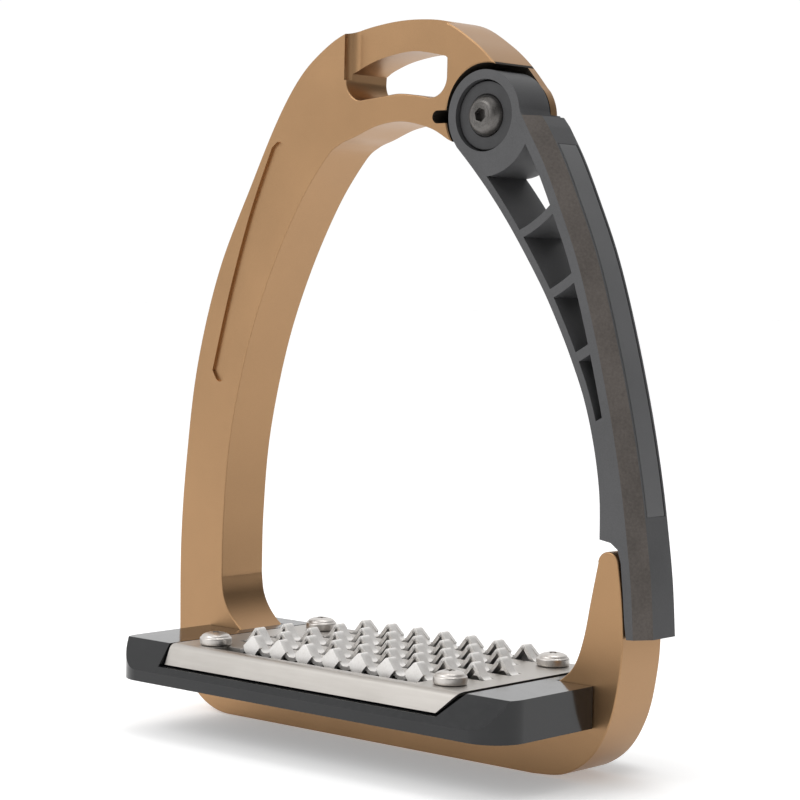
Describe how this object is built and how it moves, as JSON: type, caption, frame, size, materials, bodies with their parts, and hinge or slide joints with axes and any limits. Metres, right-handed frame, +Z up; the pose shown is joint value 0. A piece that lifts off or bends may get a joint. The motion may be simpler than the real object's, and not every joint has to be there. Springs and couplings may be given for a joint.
{
  "type": "safety stirrup iron",
  "caption": "Safety stirrup iron: an open arched metal frame with an eye for the leather, a sprung plastic release arm hinged at the top and a toothed metal grip plate on a plastic tread.",
  "frame": {"origin": "centre of the bottom bar's flat underside, midway between the frame's front and rear faces", "axes": "+X across the foot opening towards the release arm, +Y from the frame's front face to its rear face, +Z up"},
  "size_m": [0.1511, 0.062, 0.1779],
  "materials": {
    "bronze_anodised": "satin anodised bronze",
    "arm_plastic": "fine-textured dark grey nylon",
    "strip_plastic": "smooth dark grey",
    "black_oxide": "black oxide",
    "steel": "polished stainless",
    "spring_steel": "drawn wire",
    "nylon": "natural",
    "base_plastic": "gloss black",
    "brass": "machined"
  },
  "bodies": {
    "stirrup": {"frame": "bronze_anodised", "hinge_disc": "black_oxide", "hinge_screw": "black_oxide", "hinge_barrel": "steel", "hinge_washer": "nylon", "torsion_spring": "spring_steel", "tread_base": "base_plastic", "tread_plate": "steel", "tread_screw_1": "steel", "tread_screw_2": "steel", "tread_screw_3": "steel", "tread_screw_4": "steel", "tread_insert_1": "brass", "tread_insert_2": "brass", "tread_insert_3": "brass", "tread_insert_4": "brass", "base_screw_1": "steel", "base_screw_2": "steel", "base_insert_1": "brass", "base_insert_2": "brass"},
    "release_arm": {"release_arm": "arm_plastic", "arm_outer_strip": "strip_plastic"}
  },
  "joints": [
    {"name": "arm_release", "type": "hinge", "parent": "stirrup", "child": "release_arm", "pos_m": [0.0256, 0, 0.1538], "axis": [0, -1, 0], "range_deg": [0, 45], "stiffness_Nm_per_rad": 0.3, "springref_deg": -28.65, "deforming": ["torsion_spring"]}
  ]
}
